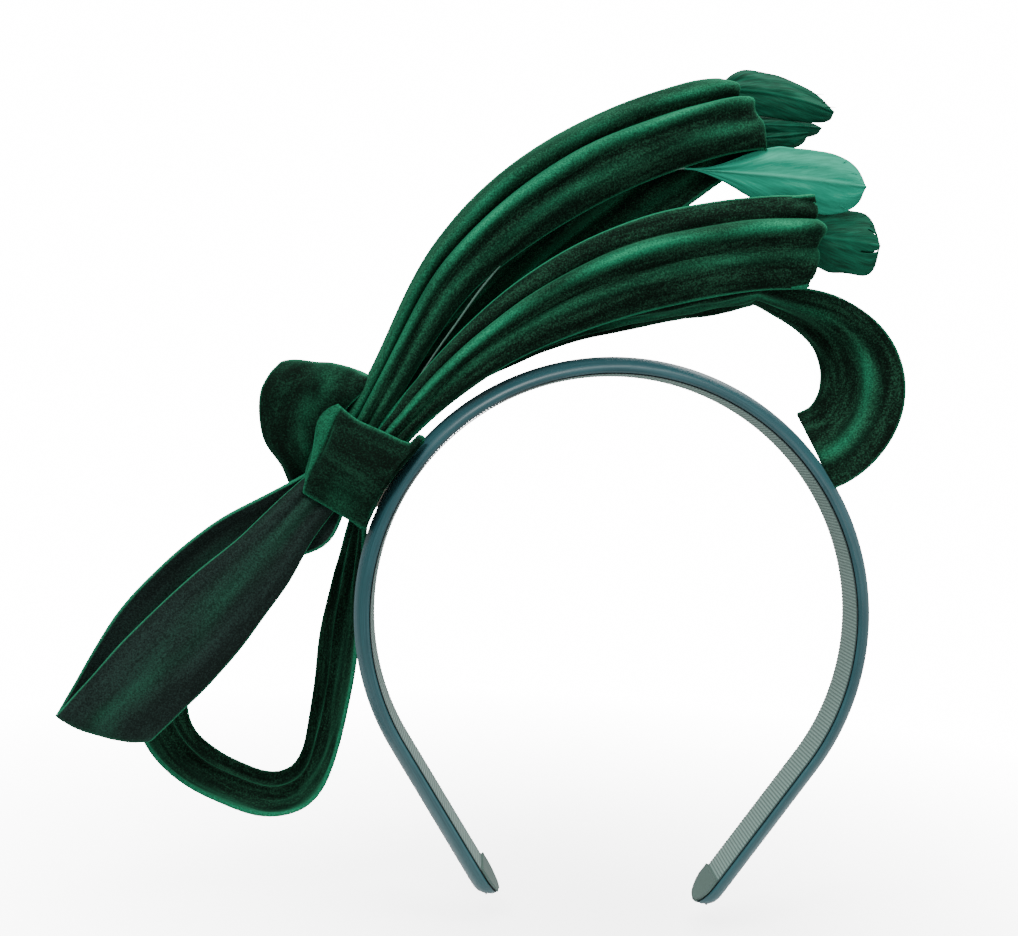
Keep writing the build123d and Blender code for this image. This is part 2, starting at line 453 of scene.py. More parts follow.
@dataclass(frozen=True)
class Plain:
    """A hidden or small piece's finish, lightly mottled."""

    name: str
    shade: tuple
    roughness: float
    grain_scale: float = 700.0

    def make(self) -> bpy.types.Material:
        """Build the finish.

        Returns:
            Its material.
        """
        nodes = Nodes(self.name)
        grain = nodes.noise(nodes.add("TexCoord").outputs["Object"], self.grain_scale)
        darker = tuple(0.6 * part for part in self.shade)
        nodes.colour(nodes.ramp(grain, ((0.3, darker), (0.7, self.shade))))
        nodes.relief(grain, 0.2, 0.0001)
        nodes.surface(Roughness=self.roughness)
        return nodes.material


# ---------------------------------------------------------------- band
@dataclass
class Band:
    """The satin-covered band with its ribbed lining, in two halves."""

    arc_below: float = math.radians(34)
    arm_straight: float = 0.048
    cover_half: float = COVER_HALF
    lining_half: float = LINING_HALF
    lining_thick: float = 0.0006
    cover_edge: float = 0.0038
    rib: float = 0.00045
    tip_round: float = 0.0082
    seam_lap: float = 0.0006
    turn_in: float = 0.0004
    hem_dip: float = 0.0002
    rib_height: float = 0.00009
    tooth: float = 0.00022
    blend_reach: float = 0.012
    flex: dict = field(default_factory=dict)

    def __post_init__(self) -> None:
        """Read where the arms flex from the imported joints."""
        for joint in frame["joints"]:
            self.flex[joint["child"]] = Vector(joint["pos_m"])

    @property
    def half_length(self) -> float:
        """The length from the crown to a tip along the lining."""
        return HEAD_RADIUS * (math.pi / 2 + self.arc_below) + self.arm_straight

    def cover_outline(self) -> list[Vector]:
        """Draw the satin's path round the band at the crown.

        Returns:
            Points from one edge of the lining to the other.
        """
        edge = BAND_OUT - self.cover_edge
        inner = HEAD_RADIUS + self.lining_thick
        seam = self.lining_half - self.seam_lap
        turned = self.cover_half - self.turn_in
        hem = inner - self.hem_dip
        points = [Vector((0, -seam, inner)), Vector((0, -turned, hem))]
        steps = 12
        for i in range(steps + 1):
            y = self.cover_half * (2 * i / steps - 1)
            rise = self.cover_edge * (1 - (y / self.cover_half) ** 2) ** 0.8
            points.append(Vector((0, y, edge + rise)))
        points += [Vector((0, turned, hem)), Vector((0, seam, inner))]
        return points

    def lining_outline(self) -> list[Vector]:
        """Draw the lining's path across the band at the crown, with its edges rolled a little.

        Returns:
            Points from one edge to the other.
        """
        steps = 16
        points = []
        for i in range(steps + 1):
            side = 2 * i / steps - 1
            rolled = self.hem_dip * side ** 4
            points.append(Vector((0, self.lining_half * side, HEAD_RADIUS + rolled)))
        return points

    def swept(self, outline: Sequence[Vector], steps: int) -> bmesh.types.BMesh:
        """Carry an outline from the crown down the right side of the hoop to its tip.

        Args:
            outline: Points across the band at the crown.
            steps: Steps along the arc.

        Returns:
            An open sheet.
        """
        mesh = bmesh.new()
        first = [mesh.verts.new(point) for point in outline]
        edges = [mesh.edges.new(pair) for pair in zip(first, first[1:])]
        turn = math.pi / 2 + self.arc_below
        row = bmesh.ops.spin(mesh, geom=first + edges, cent=(0, 0, 0), axis=(0, 1, 0), angle=turn,
                             steps=steps, use_merge=False, dvec=(0, 0, 0))["geom_last"]
        down = radial(-self.arc_below - math.pi / 2)
        count = round(self.arm_straight / (HEAD_RADIUS * turn / steps))
        for _ in range(count):
            line = [part for part in row if isinstance(part, bmesh.types.BMEdge)]
            row = bmesh.ops.extrude_edge_only(mesh, edges=line)["geom"]
            verts = [part for part in row if isinstance(part, bmesh.types.BMVert)]
            bmesh.ops.translate(mesh, verts=verts, vec=down * (self.arm_straight / count))
        return mesh

    def along(self, place: Vector) -> float:
        """Measure along the right side of the band.

        Args:
            place: A place on or near the band.

        Returns:
            Its distance from the crown.
        """
        down = radial(-self.arc_below - math.pi / 2)
        past = (place - HEAD_RADIUS * radial(-self.arc_below)).dot(down)
        if past > 0 and place.z < 0:
            return HEAD_RADIUS * (math.pi / 2 + self.arc_below) + past
        return HEAD_RADIUS * math.atan2(place.x, place.z)

    def round_tip(self, mesh: bmesh.types.BMesh, floor: float) -> None:
        """Draw a sheet's last stretch in to a round, closed end.

        Args:
            mesh: The sheet.
            floor: The distance from the arm's inner face that its back comes down to at the tip.
        """
        start = self.half_length - self.tip_round
        out = radial(-self.arc_below)
        for vert in mesh.verts:
            past = self.along(vert.co) - start
            if past <= 0:
                continue
            share = min(0.999, past / self.tip_round)
            vert.co.y *= 0.06 + 0.94 * math.sqrt(1 - share ** 2)
            height = vert.co.dot(out) - HEAD_RADIUS - floor
            if height > 0:
                vert.co -= out * height * (1 - math.sqrt(1 - ease(share) ** 4))

    def lay_uv(self, mesh: bmesh.types.BMesh) -> None:
        """Write the distance along and across the band as the sheet's own UV map, in metres.

        Args:
            mesh: The sheet, which isn't changed otherwise.
        """
        layer = mesh.loops.layers.uv.new("cloth")
        for face in mesh.faces:
            for loop in face.loops:
                place = loop.vert.co
                loop[layer].uv = (self.along(place), place.y)

    def finish_half(self, mesh: bmesh.types.BMesh, side: Side, name: str,
                    material: bpy.types.Material) -> bpy.types.Object:
        """Turn a right-hand sheet into one half of the band.

        Args:
            mesh: The right-hand sheet.
            side: The half that it becomes.
            name: The piece's name.
            material: Its finish.

        Returns:
            The finished object.
        """
        if side is Side.LEFT:
            bmesh.ops.scale(mesh, vec=(-1, 1, 1), verts=mesh.verts)
        bmesh.ops.recalc_face_normals(mesh, faces=mesh.faces)
        piece = to_object(mesh, name, material)
        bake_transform(piece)
        return piece

    def raise_ribs(self, mesh: bmesh.types.BMesh) -> None:
        """Push every other row in and out, which also gives the edge its teeth.

        Args:
            mesh: The lining's sheet.
        """
        for vert in mesh.verts:
            row = round(self.along(vert.co) / self.rib)
            if row % 2:
                inward = -vert.co.normalized() * self.rib_height
                inward.y = math.copysign(self.tooth, vert.co.y)
                edge = abs(vert.co.y) > 0.98 * self.lining_half
                vert.co += inward if edge else Vector((inward.x, 0, inward.z))

    def build(self, satin: bpy.types.Material, ribbed: bpy.types.Material) -> None:
        """Make both halves of the cover and the lining.

        Args:
            satin: The cover's finish.
            ribbed: The lining's finish.
        """
        ribs = round(HEAD_RADIUS * (math.pi / 2 + self.arc_below) / self.rib)
        for side in Side:
            word = side.name.lower()
            outline = self.cover_outline()
            cover = self.swept(outline, 120)
            self.lay_uv(cover)
            self.round_tip(cover, self.lining_thick)
            piece = self.finish_half(cover, side, f"satin_cover_{word}", satin)
            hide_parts("crown_satin_cover", f"{word}_arm_satin_cover")
            log.info("satin cover, %s", word)

            lining = self.swept(self.lining_outline(), ribs)
            self.lay_uv(lining)
            self.raise_ribs(lining)
            self.round_tip(lining, 0.0)
            piece = self.finish_half(lining, side, f"grosgrain_lining_{word}", ribbed)
            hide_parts("crown_grosgrain_lining", f"{word}_arm_grosgrain_lining")
            log.info("grosgrain lining, %s", word)


# ---------------------------------------------------------------- ribbons
@dataclass
class Station:
    """One place along a ribbon: its middle, its direction across, its width and how far out it is."""

    centre: Vector
    across: Vector
    width: float
    t: float


@dataclass
class Pleat:
    """A lengthwise fold: its place across the ribbon from -1 to 1, its height, spread and shape."""

    place: float
    height: float
    spread: float
    fold: Fold = Fold.RIDGE

    def rise(self, v: float) -> float:
        """Measure the fold.

        Args:
            v: The place across the ribbon, from -1 to 1.

        Returns:
            How far it lifts the cloth there.
        """
        if self.fold is Fold.GROOVE:
            return -self.height * math.exp(-abs(v - self.place) / self.spread)
        return self.height * bump_at(v, self.place, self.spread)


@dataclass
class Ribbon:
    """A velvet ribbon: stations along it, with pleats, rolled edges and small creases across them."""

    name: str
    node: str
    flat: tuple
    pleats: Sequence[Pleat] = ()
    roll: float = 0.0028
    crease: float = 0.0006
    gather: float = 0.0011
    seed: float = 0.0
    rows: int = 110
    columns: int = 44
    thickness: float = 0.0010
    rim: float = 0.045
    full_width: float = 0.018
    mottle_scale: tuple = (16, 3)
    full_ridge: float = 0.002
    edge_painted_highlight: float = 0.75
    ridge_painted_highlight: float = 1.1
    wander_scale: tuple = (9.0, 1.6)

    def station(self, u: float) -> Station:
        """Find the ribbon's place.

        Args:
            u: The share of its length, from 0 to 1.

        Returns:
            The station there.
        """
        raise NotImplementedError

    def outward(self, u: float) -> Vector:
        """Find the side of the cloth that faces away from the loop's space.

        Args:
            u: The share of the ribbon's length.

        Returns:
            The direction, of length 1.
        """
        step = 0.004
        ahead = self.station(min(1.0, u + step)).centre - self.station(max(0.0, u - step)).centre
        return ahead.cross(self.station(u).across).normalized()

    def profile(self, v: float, station: Station) -> float:
        """Measure the pleats, rolled edges and gathers.

        Args:
            v: The place across the ribbon, from -1 to 1.
            station: The place along it.

        Returns:
            How far the cloth stands out there.
        """
        size = min(1.0, station.width / self.full_width)
        raised = sum(pleat.rise(v) for pleat in self.pleats)
        waist = self.gather * (1 - size) * math.cos(3 * math.pi * v)
        return size * (raised - self.roll * abs(v) ** 4) + waist

    def painted_highlight(self, u: float, v: float) -> float:
        """Measure the painted highlight on the edges and along the ridges.

        Args:
            u: The share of the ribbon's length.
            v: The place across it, from -1 to 1.

        Returns:
            The painted highlight's strength, from 0 to 1.
        """
        painted_edge_shading = ease((abs(v) - 1 + self.rim) / (0.6 * self.rim))
        along, across = self.mottle_scale
        mottle = 0.6 + 0.8 * noise.noise(Vector((u * along, v * across, self.seed)))
        ridges = [bump_at(v, fold.place, 0.55 * fold.spread) * min(1, fold.height / self.full_ridge)
                  for fold in self.pleats if fold.fold is Fold.RIDGE and fold.height > 0]
        lit = [self.ridge_painted_highlight * ridge * mottle for ridge in ridges]
        return min(1.0, max([self.edge_painted_highlight * painted_edge_shading] + lit))

    def place(self, u: float, v: float) -> Vector:
        """Find where a point of the flat ribbon lies on the finished one.

        Args:
            u: The share of the ribbon's length.
            v: The place across it, from -1 to 1.

        Returns:
            The point.
        """
        station = self.station(u)
        out = self.outward(u)
        spot = station.centre + station.across * (v * station.width / 2)
        spot += out * self.profile(v, station)
        wander = Vector((u * self.wander_scale[0], v * self.wander_scale[1], self.seed))
        spot += out * (self.crease * noise.noise(wander * 1.7))
        spot += station.across * (0.5 * self.crease * noise.noise(wander * 2.3 + ACROSS))
        return spot

    def build(self, material: bpy.types.Material) -> bpy.types.Object:
        """Make the ribbon's piece.

        Args:
            material: The velvet.

        Returns:
            The finished object.
        """
        mesh = bmesh.new()
        bmesh.ops.create_grid(mesh, x_segments=self.rows, y_segments=self.columns, size=1.0)
        layer = mesh.loops.layers.uv.new("cloth")
        highlight_and_shaft = mesh.verts.layers.float.new("highlight_and_shaft")
        width, length = self.flat
        for face in mesh.faces:
            for loop in face.loops:
                loop[layer].uv = ((loop.vert.co.x + 1) / 2 * length, loop.vert.co.y * width / 2)
        for vert in mesh.verts:
            u, v = (vert.co.x + 1) / 2, vert.co.y
            # Painted highlight on the ribbon's edges and ridges, stored in the vertex attribute.
            vert[highlight_and_shaft] = self.painted_highlight(u, v)
            vert.co = self.place(u, v)
        bmesh.ops.recalc_face_normals(mesh, faces=mesh.faces)
        piece = to_object(mesh, self.name, material)
        thicken(piece, self.thickness)
        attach(piece, "crown")
        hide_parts(self.node)
        log.info("ribbon %s", self.name)
        return piece


@dataclass
class RibbonLoop(Ribbon):
    """A ribbon that leaves the knot, folds over at its end and comes back."""

    root: Vector = field(default_factory=Vector)
    length: float = 0.1
    heading: float = 0.0
    bow: float = 0.0
    gap: float = 0.006
    widths: tuple = (0.006, 0.022)
    wide_at: float = 0.75
    depth: tuple = (0.0, 0.0)
    fan: float = 0.0
    skew: float = 0.0
    tuck: float = 0.0
    in_plane: bool = False
    tilt: float = 0.0
    pinch: float = 0.3
    roundness: float = 0.7
    root_phase: float = 0.3
    tuck_at: float = 0.20
    tuck_spread: float = 0.12

    def station(self, u: float) -> Station:
        """Find the loop's place, by the same kind of curve as its solid.

        Args:
            u: The share of its length, out and back.

        Returns:
            The station there.
        """
        phase = self.root_phase + (2 * math.pi - 2 * self.root_phase) * u
        t = (1 - math.cos(phase)) / 2
        turn = math.sin(phase)
        opened = self.gap * math.copysign(abs(turn) ** self.roundness, turn)
        opened *= self.pinch + (1 - self.pinch) * t
        spread = self.fan * turn * abs(turn) * ease(2.5 * t)
        tucked = self.tuck * max(0.0, -turn) * bump_at(t, self.tuck_at, self.tuck_spread)
        side = 4 * self.bow * t * (1 - t) + spread + tucked
        y = between(self.depth, 5 * (t - 0.1))
        forward, left = radial(self.heading), radial(self.heading + math.pi / 2)
        if self.in_plane:
            side += opened
            inward = forward * (0.5 * math.cos(phase)) - left * turn
            across = ACROSS * math.cos(self.tilt) + inward * math.sin(self.tilt)
        else:
            y -= opened
            slope = math.atan(4 * self.bow * (1 - 2 * t) / self.length)
            across = radial(self.heading + math.pi / 2 + slope + self.skew * ease(t))
        centre = self.root + forward * (self.length * t) + left * side + ACROSS * y
        width = between(self.widths, t / self.wide_at) + 2 * tucked
        return Station(centre, across.normalized(), width, t)


@dataclass
class CurlTail(Ribbon):
    """The tail that runs close over the band and curls down to it."""

    centre: Vector = field(default_factory=lambda: Vector((0.0450, 0, 0.0648)))
    radius: float = 0.0187
    loosens: float = 0.0070
    start: float = math.radians(113)
    sweep: float = math.radians(182)
    run_share: float = 0.66
    run_from: float = 0.03
    pull: float = 0.052
    lead: float = 0.024
    root_out: float = 0.0732
    loosens_over: float = 0.10
    run_turn: tuple = (30, 20)
    run_depth: tuple = (0.003, 0.0055)
    run_widths: tuple = (0.006, 0.013)
    curl_turn: tuple = (20, 42)
    tip_width: float = 0.024

    def run(self, t: float) -> Vector:
        """Follow the stretch from the knot to the curl, a curve with four control points.

        Args:
            t: The share of that stretch.

        Returns:
            The ribbon's middle there.
        """
        root = self.root_out * radial(KNOT_ANGLE)
        end = self.centre + (self.radius + self.loosens) * radial(self.start)
        first = root + self.pull * radial(KNOT_ANGLE - math.pi / 2)
        second = end - self.lead * radial(self.start - math.pi / 2)
        rest = 1 - t
        return rest ** 3 * root + 3 * rest ** 2 * t * first + 3 * rest * t ** 2 * second + t ** 3 * end

    def station(self, u: float) -> Station:
        """Find the tail's place.

        Args:
            u: The share of its length, from the knot to the tip.

        Returns:
            The station there.
        """
        if u < self.run_share:
            t = self.run_from + (1 - self.run_from) * u / self.run_share
            ahead = (self.run(t) - self.run(t - 0.01)).normalized()
            up = Vector((-ahead.z, 0, ahead.x))
            turn = math.radians(between(self.run_turn, t))
            centre = self.run(t) + ACROSS * between(self.run_depth, 3 * t)
            return Station(centre, up * math.sin(turn) - ACROSS * math.cos(turn),
                           between(self.run_widths, t), t)
        t = (u - self.run_share) / (1 - self.run_share)
        out = radial(self.start - self.sweep * t)
        turn = math.radians(self.curl_turn[0] + self.curl_turn[1] * math.sqrt(t))
        radius = self.radius + self.loosens * math.exp(-t / self.loosens_over)
        centre = self.centre + radius * out + ACROSS * between((self.run_depth[1], 0), t)
        return Station(centre, out * math.sin(turn) - ACROSS * math.cos(turn),
                       between((self.run_widths[1], self.tip_width), 1.6 * t), t)


def bow_ribbons() -> list[Ribbon]:
    """Lay out the bow's ribbons, each with its own length, pleats and creases.

    Returns:
        The ribbons, the upper loop first.
    """
    return [
        RibbonLoop("velvet_upper_loop", "upper_loop", (0.022, 0.292), seed=1.0,
                   pleats=(Pleat(0.70, 0.0014, 0.20), Pleat(0.38, 0.0030, 0.10, Fold.GROOVE),
                           Pleat(0.20, 0.0024, 0.20), Pleat(-0.45, 0.0006, 0.30)),
                   root=0.0835 * radial(KNOT_ANGLE), length=0.142, heading=math.radians(43.6),
                   bow=0.012, gap=0.007, widths=(0.0085, 0.022),
                   depth=(-0.0025, -0.001), fan=0.0078, skew=math.radians(12)),
        RibbonLoop("velvet_lower_loop", "lower_loop", (0.022, 0.275), seed=2.0,
                   pleats=(Pleat(0.50, 0.0018, 0.10, Fold.GROOVE), Pleat(0.30, 0.0022, 0.20),
                           Pleat(-0.15, 0.0010, 0.07, Fold.GROOVE), Pleat(-0.32, 0.0006, 0.22)),
                   root=0.0763 * radial(KNOT_ANGLE), length=0.133, heading=math.radians(30),
                   bow=0.017, gap=0.005, widths=(0.0075, 0.024),
                   depth=(-0.003, -0.0065), skew=math.radians(-3)),
        RibbonLoop("velvet_leaf_loop", "leaf_loop", (0.022, 0.200), seed=3.0, crease=0.0005,
                   pleats=(Pleat(-0.1, 0.0003, 0.6),), roll=0.0018,
                   root=0.0794 * radial(KNOT_ANGLE), length=0.097, heading=math.radians(230),
                   bow=-0.004, gap=0.006, widths=(0.010, 0.025),
                   depth=(-0.0035, -0.005), fan=0.004, skew=math.radians(18), tuck=0.004),
        RibbonLoop("velvet_hanging_loop", "hanging_loop", (0.018, 0.235), seed=4.0,
                   pleats=(Pleat(0.3, 0.0012, 0.10, Fold.GROOVE),), roll=0.0018,
                   root=0.0775 * radial(KNOT_ANGLE), length=0.097, heading=math.radians(250),
                   bow=-0.0075, gap=0.0345, widths=(0.007, 0.018), wide_at=0.55,
                   depth=(0.004, 0.0153), in_plane=True, tilt=math.radians(42), pinch=0.20),
        RibbonLoop("velvet_fold_over_loop", "fold_over_loop", (0.022, 0.078), seed=5.0, rows=60,
                   pleats=(Pleat(-0.2, 0.0005, 0.4),), roll=0.0016,
                   root=Vector((-0.0815, 0, 0.0285)), length=0.0335, heading=math.radians(84),
                   bow=0.0025, gap=0.0095, widths=(0.012, 0.0265), wide_at=1.0, fan=0.0040,
                   depth=(0.0025, 0.0010), skew=math.radians(14)),
        CurlTail("velvet_curl_tail", "curl_tail", (0.018, 0.188), seed=6.0, rows=140,
                 pleats=(Pleat(0.25, 0.0010, 0.3),), roll=0.0012),
    ]


@dataclass
class Knot:
    """The ribbon wrapped round the bow's waist: wider above, with a strip turned along its outer edge."""

    heights: tuple = (0.0202, 0.0242)
    depth: float = 0.0185
    length: float = 0.0250
    low: float = 0.0010
    inner: float = BAND_OUT + 0.0005
    bulge: float = 0.0012
    squareness: float = 0.5
    strip: float = 0.70
    tab: float = 0.0036
    skirt: float = 0.0030
    wall: float = 0.0007
    pinch: float = 0.09
    crease: float = 0.0011
    crease_spread: float = 0.07
    clearance: float = 0.0004
    dip: float = 0.0012
    corner_at: float = 1.25 * math.pi
    girth: float = 0.068
    around: int = 140
    lengthwise: int = 40

    def place(self, u: float, v: float) -> tuple[Vector, float]:
        """A point of the wrap and the strength of its painted highlight.

        Args:
            u: The share of the way round the waist.
            v: The place along the band, from -1 to 1.

        Returns:
            The point, and the painted highlight's strength from 0 to 1.
        """
        turn = 2 * math.pi * u
        c, s = math.cos(turn), math.sin(turn)
        outer = math.copysign(abs(c) ** self.squareness, c)
        side = math.copysign(abs(s) ** self.squareness, s)
        height = between(self.heights, (v + 1) / 2)
        base, along = radial(KNOT_ANGLE), radial(KNOT_ANGLE - math.pi / 2)
        front = ease(-1.6 * s)
        pull = 1 - self.pinch * v ** 4
        slant = 0.0007 * math.sin(3 * turn + 2.6 * v + 0.7) + 0.0004 * math.sin(7 * turn - 3.1 * v)
        swell = 1 + (self.bulge * (1 - v * v) + slant) / (height / 2)
        spot = base * (outer * (height / 2 - self.wall) * pull * swell)
        spot += ACROSS * (side * (self.depth / 2 - self.wall) * pull * swell)
        fold = math.exp(-abs(outer - self.strip) / self.crease_spread)
        spot += ACROSS * (self.crease * front * fold)
        lowest = self.clearance - height / 2
        if outer < 0 and spot.dot(base) < lowest:
            spot += base * (lowest - spot.dot(base))
        spot -= base * (self.skirt * ease((abs(side) - 0.80) / 0.12) * ease(-1.6 * outer))
        arc = (v * self.length / 2 - self.low) ** 2 / (2 * BAND_OUT)
        spot -= base * ((arc + (1 - pull) * height / 2) * ease(0.5 - outer))
        corner = front * bump_at(turn, self.corner_at, 0.30) * ease(1.5 * v - 0.5)
        spot += along * (self.tab * corner) - base * (0.7 * self.tab * corner)
        dip = -self.dip * bump_at(outer, 0.3, 0.5) * ease(v)
        spot += base * (self.inner + height / 2) + along * (v * self.length / 2 + dip - self.low)
        # Painted highlight: bright rims, a bright strip along the turned edge and a faint bright patch in front.
        rim = ease((abs(v) - 0.93) / 0.06)
        turned = front * ease((outer - self.strip) / 0.06) * 0.45
        faint = front * 0.18 * bump_at(outer, -0.1, 0.25) * ease(-v)
        return spot, max(0.6 * rim, turned, faint)

    def build(self, material: bpy.types.Material) -> bpy.types.Object:
        """Make the wrap.

        Args:
            material: The velvet.

        Returns:
            The finished object.
        """
        mesh = bmesh.new()
        bmesh.ops.create_grid(mesh, x_segments=self.around, y_segments=self.lengthwise, size=1.0)
        layer = mesh.loops.layers.uv.new("cloth")
        highlight_and_shaft = mesh.verts.layers.float.new("highlight_and_shaft")
        for face in mesh.faces:
            for loop in face.loops:
                loop[layer].uv = (loop.vert.co.x * 0.033, loop.vert.co.y * self.length / 2)
        for vert in mesh.verts:
            vert.co, vert[highlight_and_shaft] = self.place((vert.co.x + 1) / 2, vert.co.y)
        bmesh.ops.remove_doubles(mesh, verts=mesh.verts, dist=1e-6)
        bmesh.ops.recalc_face_normals(mesh, faces=mesh.faces)
        piece = to_object(mesh, "velvet_knot_wrap", material)
        thicken(piece, 0.0011, -1.0)
        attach(piece, "crown")
        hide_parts("knot_wrap")
        log.info("knot wrap")
        return piece


# ---------------------------------------------------------------- feathers
@dataclass
class Plume:
    """One feather: a cambered vane with slits and a frayed tip, which replaces its flat solid."""

    label: str
    base: Vector
    length: float
    heading: float
    width: float
    droop: float = 0.0
    broad_at: float = 0.62
    blunt: float = 0.20
    camber: float = 0.0022
    root: float = 0.0010
    rise: float = 0.003
    shaft: float = 0.00035
    ripple: float = 0.0006
    slit: float = 0.012
    slit_opens: float = 0.16
    barb_length: float = 0.0022
    barb_half: float = 0.00016
    slits: Sequence[tuple] = ((0.35, 0.80), (-0.45, 0.84))
    barbs: int = 12
    layers: int = 1
    seed: float = 0.0
    rows: int = 80
    columns: int = 40

    def half(self, t: float) -> float:
        """Measure half the vane's width.

        Args:
            t: The share of its length.

        Returns:
            Half the width there.
        """
        rise = ease(t / self.broad_at) ** 1.25
        past = max(0.0, (t - 1 + self.blunt) / self.blunt)
        wave = 1 + 0.05 * noise.noise(Vector((t * 7, self.seed, 0)))
        return self.width / 2 * max(0.02, rise * math.sqrt(max(0.0, 1 - past ** 2.6)) * wave)

    def place(self, t: float, v: float) -> Vector:
        """Find a point of the vane.

        Args:
            t: The share of its length.
            v: The place across it, from -1 to 1.

        Returns:
            The point.
        """
        forward, left = radial(self.heading), radial(self.heading + math.pi / 2)
        side = v * self.half(t) - self.droop * t * t
        lift = self.rise * t * t - self.camber * v * v * ease(1.5 * t)
        lift += self.shaft * bump_at(v, 0, 0.05)
        lift += self.ripple * noise.noise(Vector((t * 4, v * 3, self.seed)))
        lift += self.root * (1 - ease(t / 0.2))
        return self.base + forward * (t * self.length) + left * side - ACROSS * lift

    def cut_slits(self, mesh: bmesh.types.BMesh, faces: Sequence[bmesh.types.BMFace]) -> None:
        """Open the slits between the barbs near the tip of the flat grid.

        Args:
            mesh: The mesh that holds the grid.
            faces: The grid's faces.
        """
        gone = []
        for face in faces:
            middle = face.calc_center_median()
            t, v = (middle.x + 1) / 2, middle.y
            for place, start in self.slits:
                spread = self.slit + self.slit_opens * (t - start)
                if t > start and abs(v - place - 0.2 * (t - start)) < spread:
                    gone.append(face)
                    break
        bmesh.ops.delete(mesh, geom=gone, context="FACES")

    def add_barbs(self, mesh: bmesh.types.BMesh) -> None:
        """Stand thin loose barbs out of the tip.

        Args:
            mesh: The vane's mesh, which they are added to.
        """
        for i in range(self.barbs):
            v = -0.9 + 1.8 * (i + 0.5) / self.barbs
            t = 0.93 - 0.10 * v * v
            start = self.place(t, v)
            tilt = self.heading + 0.35 * v + 0.25 * noise.noise(Vector((i * 3.7, self.seed, 1)))
            reach = self.barb_length * (1 + 0.6 * noise.noise(Vector((i * 2.3, self.seed, 5))))
            made = bmesh.ops.create_grid(mesh, x_segments=6, y_segments=1, size=1.0)["verts"]
            for vert in made:
                s = (vert.co.x + 1) / 2
                thin = self.barb_half * (1 - 0.9 * s) * vert.co.y
                bend = 0.0006 * s * s * (1 if i % 2 else -1)
                aside = radial(tilt + math.pi / 2) * (thin + bend)
                vert.co = start + radial(tilt) * (s * reach) + aside

    def build(self, vane: bpy.types.Material) -> bpy.types.Object:
        """Make the vane.

        Args:
            vane: The feather's finish.

        Returns:
            The finished object.
        """
        mesh = bmesh.new()
        layer = mesh.loops.layers.uv.new("cloth")
        highlight_and_shaft = mesh.verts.layers.float.new("highlight_and_shaft")
        for number in range(self.layers):
            made = bmesh.ops.create_grid(mesh, x_segments=self.rows, y_segments=self.columns,
                                         size=1.0)
            faces = {face for vert in made["verts"] for face in vert.link_faces}
            for face in faces:
                for loop in face.loops:
                    x, y = loop.vert.co.x * self.length / 2, abs(loop.vert.co.y) * self.width / 2
                    loop[layer].uv = (x + 0.6 * y, y - 0.25 * x)
            if number == 0:
                self.cut_slits(mesh, sorted(faces, key=lambda face: face.index))
            for vert in made["verts"]:
                if not vert.is_valid:
                    continue
                t, v = (vert.co.x + 1) / 2, vert.co.y
                vert[highlight_and_shaft] = bump_at(v, 0, 0.04) * (1 - 0.5 * t)
                vert.co = self.place(t * (1 - 0.04 * number), v) + ACROSS * (0.0008 * number)
        self.add_barbs(mesh)
        bmesh.ops.recalc_face_normals(mesh, faces=mesh.faces)
        piece = to_object(mesh, f"{self.label}_soft_vane", vane)
        thicken(piece, 0.00022)
        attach(piece, "crown")
        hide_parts(f"{self.label}_vane", f"{self.label}_quill")
        log.info("feather %s", self.label)
        return piece


@dataclass
class Stem:
    """The large feather's bare stem, which lies under the upper loop's lower edge down to the knot."""

    loop: Ribbon
    tip: Vector
    span: tuple = (0.03, 0.36)
    below: tuple = (1.35, 0.75)
    radius: float = 0.00028
    inside: float = 0.002
    sides: int = 8
    steps: int = 40

    def path(self, share: float) -> Vector:
        """Follow the stem from the knot to the feather.

        Args:
            share: The share of its length.

        Returns:
            The stem's middle there.
        """
        station = self.loop.station(self.span[0] + (self.span[1] - self.span[0]) * share)
        below = between(self.below, (share - 0.35) / 0.30)
        spot = station.centre - station.across * (below * station.width / 2) + ACROSS * self.inside
        return spot.lerp(self.tip, ease((share - 0.55) / 0.45))

    def build(self, material: bpy.types.Material) -> bpy.types.Object:
        """Make the stem.

        Args:
            material: The feather's finish.

        Returns:
            The finished object.
        """
        mesh = bmesh.new()
        spots = [self.path(i / self.steps) for i in range(self.steps + 1)]
        ways = [after - before for before, after in zip(spots, spots[1:])]
        rings = []
        for spot, way in zip(spots, ways + ways[-1:]):
            ring = bmesh.ops.create_circle(mesh, radius=self.radius, segments=self.sides)["verts"]
            bmesh.ops.rotate(mesh, verts=ring, matrix=way.to_track_quat("Z", "Y").to_matrix())
            bmesh.ops.translate(mesh, verts=ring, vec=spot)
            rings.append(list(dict.fromkeys(edge for vert in ring for edge in vert.link_edges)))
        for before, after in zip(rings, rings[1:]):
            bmesh.ops.bridge_loops(mesh, edges=before + after)
        for end in (rings[0], rings[-1]):
            bmesh.ops.contextual_create(mesh, geom=end)
        bmesh.ops.recalc_face_normals(mesh, faces=mesh.faces)
        piece = to_object(mesh, "large_feather_stem", material)
        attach(piece, "crown")
        log.info("feather stem")
        return piece


